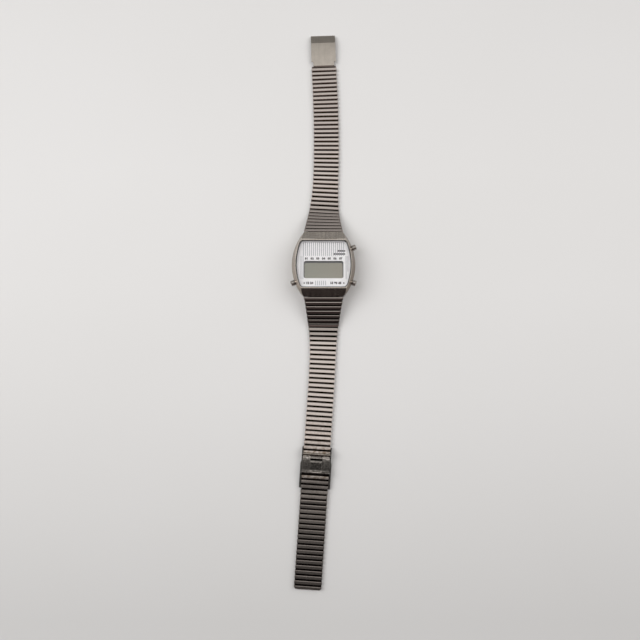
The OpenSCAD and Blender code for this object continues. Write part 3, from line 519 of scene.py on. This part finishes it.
def crystal_glass():
    """Clear crystal that lets the lamps through to the dial."""
    m = Nodes("crystal_glass")
    m.set(Base_Color=(1.0, 0.995, 0.99), IOR=1.49, Transmission_Weight=1.0)
    m.roughness(m.noise((260.0, 700.0, 260.0), 3.0), 0.0, 0.03)
    clear = m.node("ShaderNodeBsdfTransparent")
    clear.inputs["Color"].default_value = (0.97, 0.965, 0.96, 1.0)
    path = m.node("ShaderNodeLightPath")
    either = m.maths("MAXIMUM", path.outputs["Is Shadow Ray"], path.outputs["Is Diffuse Ray"])
    mixed = m.node("ShaderNodeMixShader")
    m.link(either, mixed.inputs["Fac"])
    m.link(m.shader.outputs["BSDF"], mixed.inputs[1])
    m.link(clear.outputs["BSDF"], mixed.inputs[2])
    m.link(mixed.outputs["Shader"], m.tree.nodes["Material Output"].inputs["Surface"])
    return m.material


def gasket_nylon():
    """Crystal gasket: grey nylon, black along its upper edge."""
    m = Nodes("gasket_nylon")
    fine = m.noise(4000.0, 3.0)
    grey = m.ramp(fine, (0.3, (0.16, 0.155, 0.15)), (0.7, (0.24, 0.235, 0.23)))
    upper = m.ramp(m.facing()["Z"], (0.4, 0.0), (0.6, 1.0))
    m.colour(m.mix(upper, grey, (0.006, 0.0055, 0.005)))
    m.roughness(fine, 0.45, 0.6)
    return m.material


def board_green():
    """Solder mask over copper tracks."""
    m = Nodes("board_green")
    tracks = m.node("ShaderNodeTexBrick")
    tracks.inputs["Scale"].default_value = 1.0
    tracks.inputs["Mortar Size"].default_value = 0.08
    tracks.inputs["Color1"].default_value = (0.015, 0.13, 0.05, 1)
    tracks.inputs["Color2"].default_value = (0.02, 0.17, 0.07, 1)
    tracks.inputs["Mortar"].default_value = (0.03, 0.24, 0.1, 1)
    m.link(m.scaled((700.0, 1100.0, 700.0)), tracks.inputs["Vector"])
    m.colour(tracks.outputs["Color"])
    m.set(Coat_Weight=0.3, Coat_Roughness=0.2)
    m.roughness(tracks.outputs["Fac"], 0.3, 0.45)
    m.bump(tracks.outputs["Fac"], 0.3, 2e-5)
    return m.material


def zebra_rubber():
    """Contact strip of thin black and clear layers."""
    m = Nodes("zebra_rubber")
    wave = m.node("ShaderNodeTexWave", bands_direction="X")
    wave.inputs["Scale"].default_value = 1.0
    m.link(m.scaled(1600.0), wave.inputs["Vector"])
    m.colour(m.ramp(wave.outputs["Fac"], (0.4, 0.02), (0.6, (0.3, 0.28, 0.26))))
    m.roughness(wave.outputs["Fac"], 0.5, 0.7)
    return m.material


def paint(material, *names):
    """Gives CAD nodes a material."""
    for name in names:
        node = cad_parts[name]
        node.data.materials.clear()
        node.data.materials.append(material)


def numbered(stem, count):
    return [f"{stem}_{i}" for i in range(1, count + 1)]


def paint_band():
    """The band, its bars and its clasp."""
    links = [*numbered("upper_links", 7), *numbered("lower_links", 7), *numbered("tail_links", 3)]
    paint(band_steel(), *links, "clasp_seat_links")
    # The hook plate and the clasp body get painted shade in their folds, the hook plate also
    # towards its far end
    paint(brushed_steel("hook_steel", (0.56, 0.51, 0.455), "Y", 0.3, 0.08, 0.1,
                        fold=FOLD_SHADE_DEPTH, fade=HOOK_SHADE), "hook_plate")
    paint(brushed_steel("clasp_steel", (0.11, 0.104, 0.098), "X", 0.3, 0.25, 0.45,
                        fold=FOLD_SHADE_DEPTH), "clasp_body")
    paint(lever_steel(), "lock_lever")
    paint(turned_metal("catch_steel", (0.42, 0.38, 0.33)), "catch_bar")
    paint(turned_metal("pin_steel", (0.55, 0.53, 0.5)),
          "lever_pin", "spring_bar_12", "spring_bar_6")
    paint(turned_metal("tip_steel", (0.62, 0.61, 0.58)),
          "tip_12_left", "tip_12_right", "tip_6_left", "tip_6_right")
    paint(turned_metal("spring_wire", (0.55, 0.55, 0.54), 0.3), "bar_spring_12", "bar_spring_6")


def paint_head():
    """The case, its pushers and what it holds."""
    paint(case_steel(), "case")
    paint(brushed_steel("back_steel", (0.6, 0.585, 0.56), "X", 0.32), "case_back")
    sides = ("upper", "lower", "left")
    paint(pusher_steel(), *[f"{side}_pusher" for side in sides])
    paint(turned_metal("coil_wire", (0.5, 0.5, 0.5), 0.3),
          *[f"{side}_pusher_spring" for side in sides])
    paint(turned_metal("clip_steel", (0.2, 0.2, 0.21), 0.35),
          *[f"{side}_pusher_clip" for side in sides])
    paint(crystal_glass(), "crystal")
    paint(gasket_nylon(), "crystal_gasket")
    paint(moulded("black_rubber", (0.012, 0.012, 0.012), 0.6), "back_gasket", "pusher_seals")
    paint(dial_white(), "dial")
    paint(display_glass(), "lcd_panel")
    paint(moulded("module_plastic", (0.06, 0.065, 0.07)), "module_frame")
    paint(zebra_rubber(), "connector_strips")
    paint(board_green(), "circuit_board")
    paint(moulded("chip_resin", (0.012, 0.012, 0.012), 0.3, 900.0), "chip_cover")
    paint(turned_metal("bright_steel", (0.68, 0.68, 0.67), 0.22), "quartz_can", "module_screws")
    paint(brushed_steel("cell_steel", (0.66, 0.66, 0.65), "X", 0.25), "battery")
    paint(turned_metal("trimmer_brass", (0.66, 0.52, 0.28), 0.3), "trimmer")
    paint(turned_metal("clip_brass", (0.68, 0.5, 0.26), 0.28), "battery_clip", "piezo_spring")
    paint(turned_metal("piezo_brass", (0.7, 0.56, 0.3), 0.3), "piezo_disc")


def add_print(name, mesh, material):
    """Puts a thin print on the watch head."""
    mesh.materials.append(material)
    piece = bpy.data.objects.new(name, mesh)
    bpy.context.scene.collection.objects.link(piece)
    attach(piece, HEAD)


def print_outlines(name, outlines, height, material):
    """Prints flat outlines, in millimetres, at one height in metres."""
    shape = bmesh.new()
    for outline in outlines:
        shape.faces.new([shape.verts.new((x * MM, y * MM, height)) for x, y in outline])
    mesh = bpy.data.meshes.new(name)
    shape.to_mesh(mesh)
    shape.free()
    add_print(name, mesh, material)


def print_figures(name, figures, x, y, height, material, weight):
    """Prints plain bold figures, centred on a point of the dial."""
    text = bpy.data.curves.new(name, "FONT")
    text.body = figures
    text.size = FIGURE_SIZE * MM
    text.offset = weight * MM
    text.space_character = FIGURE_SPACING
    text.align_x = "CENTER"
    text.align_y = "CENTER"
    text.resolution_u = 3
    made = bpy.data.objects.new(name, text)
    bpy.context.scene.collection.objects.link(made)
    made.location = (x * MM, y * MM, height)
    bpy.context.view_layer.update()
    graph = bpy.context.evaluated_depsgraph_get()
    mesh = bpy.data.meshes.new_from_object(made.evaluated_get(graph))
    mesh.transform(made.matrix_world)
    mesh.materials.clear()
    bpy.data.objects.remove(made)
    add_print(name, mesh, material)


def box(x0, x1, y0, y1):
    return [(x0, y0), (x1, y0), (x1, y1), (x0, y1)]


def stripe(x, y0, y1):
    return box(x - STRIPE_W / 2, x + STRIPE_W / 2, y0, y1)


def pinstripes():
    top = [stripe(FIRST_STRIPE + k * STRIPE_PITCH, *TOP_ZONE) for k in TOP_STRIPES]
    low = [stripe(FIRST_STRIPE + k * STRIPE_PITCH, *LOW_ZONE) for k in LOW_STRIPES]
    beside = [stripe(x, low_end, TOP_ZONE[0]) for x, low_end in SIDE_STRIPES]
    return top + low + beside


def arrow(x, way):
    """Arrowhead on the lower row that points along X."""
    low, high = LOW_ROW - ARROW_HALF_W, LOW_ROW + ARROW_HALF_W
    corners = [(x, low), (x + way * ARROW_L, LOW_ROW), (x, high)]
    return corners if way > 0 else corners[::-1]


def dashes(y, first, count):
    """Row of short dashes, in place of small print."""
    starts = [first + k * DASH_PITCH for k in range(count)]
    return [box(x, x + DASH_W, y - DASH_H / 2, y + DASH_H / 2) for x in starts]


def index_marks():
    """Arrowheads that point at the lower pushers, and the dashes at upper right."""
    marks = [arrow(x, way) for x, way in ARROWS]
    for y, first, count in DASH_ROWS:
        marks += dashes(y, first, count)
    return marks


def rounded_box(middle, size, radius, steps=6):
    """Outline of a box with rounded corners, anticlockwise, about a point on the dial's axis."""
    points = []
    for corner, (side, end) in enumerate(((1, 1), (-1, 1), (-1, -1), (1, -1))):
        for k in range(steps + 1):
            turn = math.radians(90 * (corner + k / steps))
            points.append((side * (size[0] / 2 - radius) + radius * math.cos(turn),
                           middle + end * (size[1] / 2 - radius) + radius * math.sin(turn)))
    return points


def barrel(inset, steps=120):
    """Outline of the crystal's opening, drawn in by an inset."""
    low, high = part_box("crystal_gasket")
    half_w, half_l = (high.x - low.x) / 2 / MM - inset, (high.y - low.y) / 2 / MM - inset
    middle, radius = (low.y + high.y) / 2 / MM, WINDOW_RADIUS - inset
    bow = half_w - radius
    corner = math.hypot(bow + math.sqrt(radius ** 2 - half_l ** 2), half_l) - CORNER_TRIM
    points = []
    for k in range(steps):
        turn = math.tau * k / steps
        off = bow * abs(math.cos(turn))
        side = off + math.sqrt(off ** 2 + radius ** 2 - bow ** 2)
        reach = min(side, corner, half_l / max(abs(math.sin(turn)), 1e-6))
        points.append((reach * math.cos(turn), middle + reach * math.sin(turn)))
    return points


def ring(outer, inner):
    """Faces between two outlines with the same number of points."""
    return [[outer[k - 1], outer[k], inner[k], inner[k - 1]] for k in range(len(outer))]


def display_border_and_shadow():
    """Border on the display's glass: print, broader along the upper edge as painted shadow of the
    dial.
    """
    low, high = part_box("lcd_panel")
    middle = (low.y + high.y) / 2 / MM
    width, length = DISPLAY_OPENING
    under = 2 * BORDER_UNDER
    outer = rounded_box(middle, (width + under, length + under), BORDER_OUTER_R)
    inner = rounded_box(middle - BORDER_TOP / 2, (width - 2 * BORDER_SIDE, length - BORDER_TOP),
                        BORDER_INNER_R)
    return ring(outer, inner)


def print_dial():
    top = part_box("dial")[1].z + PRINT_LIFT
    grey = print_ink("stripe_grey", (0.37, 0.385, 0.42))
    dark = print_ink("mark_dark", (0.018, 0.018, 0.022))
    print_outlines("dial_stripes", pinstripes(), top, grey)
    print_outlines("dial_marks", index_marks(), top, dark)
    for day in range(1, 8):
        print_figures(f"day_mark_{day}", f"0{day}", (day - 4) * DAY_PITCH, DAY_ROW, top, dark,
                      DAY_WEIGHT)
    for side, figures, x in LOW_MARKS:
        print_figures(f"low_mark_{side}", figures, x, LOW_ROW, top, dark, LOW_WEIGHT)
    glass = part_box("lcd_panel")[1].z + PRINT_LIFT
    # Printed border on the display's glass, with a painted shadow along its upper edge
    print_outlines("display_border_and_shadow", display_border_and_shadow(), glass, dark)
    # A white ring carries the dial's face over the crystal's ledge to the gasket
    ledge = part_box("crystal")[0].z + PRINT_LIFT
    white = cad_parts["dial"].data.materials[0]
    print_outlines("dial_flange", ring(barrel(RING_OUTER), barrel(RING_INNER)), ledge, white)


def add_camera():
    data = bpy.data.cameras.new("camera")
    data.lens = CAMERA_LENS
    data.sensor_width = SENSOR
    data.sensor_height = SENSOR
    data.clip_start = NEAR_CLIP
    camera = bpy.data.objects.new("camera", data)
    camera.location = CAMERA_AT
    camera.rotation_euler = (math.radians(CAMERA_TILT), 0, 0)
    bpy.context.scene.collection.objects.link(camera)
    bpy.context.scene.camera = camera


def floor_paper():
    """Pale paper, with painted shade that darkens it towards the near edge."""
    m = Nodes("floor_paper")
    cloud = m.noise(9.0)
    paper = m.ramp(cloud, (0.3, (0.98, 0.975, 0.965)), (0.7, (1.0, 0.995, 0.99)))
    # Painted shade by distance towards 12 o'clock, over the paper's own mottling
    m.colour(m.multiplied(m.by_distance((0, 1), *FLOOR_SHADE), paper))
    m.roughness(cloud, 0.7, 0.8)
    return m.material


def add_floor():
    data = bpy.data.meshes.new("floor")
    corners = [(x, y, 0) for x, y in box(-FLOOR_REACH, FLOOR_REACH, -FLOOR_REACH, FLOOR_REACH)]
    data.from_pydata(corners, [], [(0, 1, 2, 3)])
    data.materials.append(floor_paper())
    floor = bpy.data.objects.new("floor", data)
    bpy.context.scene.collection.objects.link(floor)


def add_lamp(name, place, power):
    data = bpy.data.lights.new(name, "AREA")
    data.shape = "RECTANGLE"
    data.size, data.size_y = LAMP_SIZE
    data.energy = power
    lamp = bpy.data.objects.new(name, data)
    lamp.location = place
    lamp.rotation_euler = (-Vector(place)).to_track_quat("-Z", "Y").to_euler()
    bpy.context.scene.collection.objects.link(lamp)


def add_studio():
    """Surroundings whose brightness changes from 6 o'clock to 12 o'clock, for the steel."""
    world = bpy.data.worlds.new("studio")
    world.use_nodes = True
    bpy.context.scene.world = world
    tree = world.node_tree
    background = tree.nodes["Background"]
    way = tree.nodes.new("ShaderNodeTexCoord")
    split = tree.nodes.new("ShaderNodeSeparateXYZ")
    share = tree.nodes.new("ShaderNodeMath")
    share.operation = "MULTIPLY_ADD"
    share.inputs[1].default_value = 0.5
    share.inputs[2].default_value = 0.5
    ramp = tree.nodes.new("ShaderNodeValToRGB")
    tree.links.new(way.outputs["Generated"], split.inputs["Vector"])
    tree.links.new(split.outputs["Y"], share.inputs[0])
    tree.links.new(share.outputs["Value"], ramp.inputs["Fac"])
    stops = []
    for lean, grey in STUDIO:
        tint = DARK_TINT if lean < DARK_TINT_TO else BRIGHT_TINT
        stops.append((0.5 + lean / 2, shade(tint, grey)))
    fill_ramp(ramp.color_ramp.elements, stops)
    tree.links.new(ramp.outputs["Color"], background.inputs["Color"])
    background.inputs["Strength"].default_value = 1.0


add_camera()
paint_head()
paint_band()
print_dial()
add_floor()
for lamp in LAMPS:
    add_lamp(*lamp)
add_studio()
bpy.context.scene.view_settings.view_transform = "Standard"
